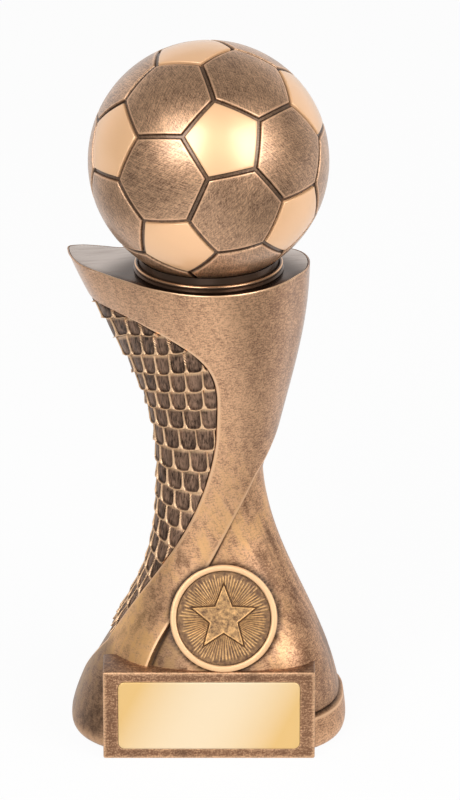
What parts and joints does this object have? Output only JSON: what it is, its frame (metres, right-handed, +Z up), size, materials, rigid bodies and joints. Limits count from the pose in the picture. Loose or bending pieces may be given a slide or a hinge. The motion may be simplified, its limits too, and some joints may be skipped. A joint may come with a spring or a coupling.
{
  "type": "football trophy",
  "caption": "Football trophy: a panelled ball in a collar on a twisted tower with a band and shingle scales, a star medallion and a plinth with a blank plate for engraving.",
  "frame": {"origin": "on the table under the ball's axis, on the felt pad's underside", "axes": "+Z up through the tie rod to the ball, +X to the viewer's right, the plate and medallion face -Y"},
  "size_m": [0.0738, 0.0624, 0.1904],
  "materials": {
    "antique_bronze": "cast resin with a brushed antique bronze metallic finish",
    "dark_bronze": "cast resin, dark bronze with gold dry-brushed edges",
    "polished_copper": "cast resin with a polished copper-gold metallic finish",
    "black_lacquer": "cast resin, glossy black-brown lacquer",
    "gold_plating": "moulded plastic, bright gold metallised",
    "gold_plate": "gold anodised sheet, satin",
    "zinc_steel": "zinc plated",
    "black_felt": "felt",
    "adhesive": "double-sided foam sheet"
  },
  "bodies": {
    "root": {"ball_shell": "antique_bronze", "pentagon_inlay_01": "polished_copper", "pentagon_inlay_02": "polished_copper", "pentagon_inlay_03": "polished_copper", "pentagon_inlay_04": "polished_copper", "pentagon_inlay_05": "polished_copper", "pentagon_inlay_06": "polished_copper", "pentagon_inlay_07": "polished_copper", "pentagon_inlay_08": "polished_copper", "pentagon_inlay_09": "polished_copper", "pentagon_inlay_10": "polished_copper", "pentagon_inlay_11": "polished_copper", "seat_collar": "black_lacquer", "top_deck": "black_lacquer", "tower_casting": "antique_bronze", "scale_panel": "dark_bronze", "tie_rod": "zinc_steel", "rod_washer": "zinc_steel", "rod_nut": "zinc_steel", "medallion_cup": "gold_plating", "star_disc": "gold_plating", "disc_adhesive": "adhesive", "plinth": "antique_bronze", "engraving_plate": "gold_plate", "plate_adhesive": "adhesive", "plinth_dowel_left": "zinc_steel", "plinth_dowel_right": "zinc_steel", "base_pad": "black_felt"}
  },
  "joints": []
}
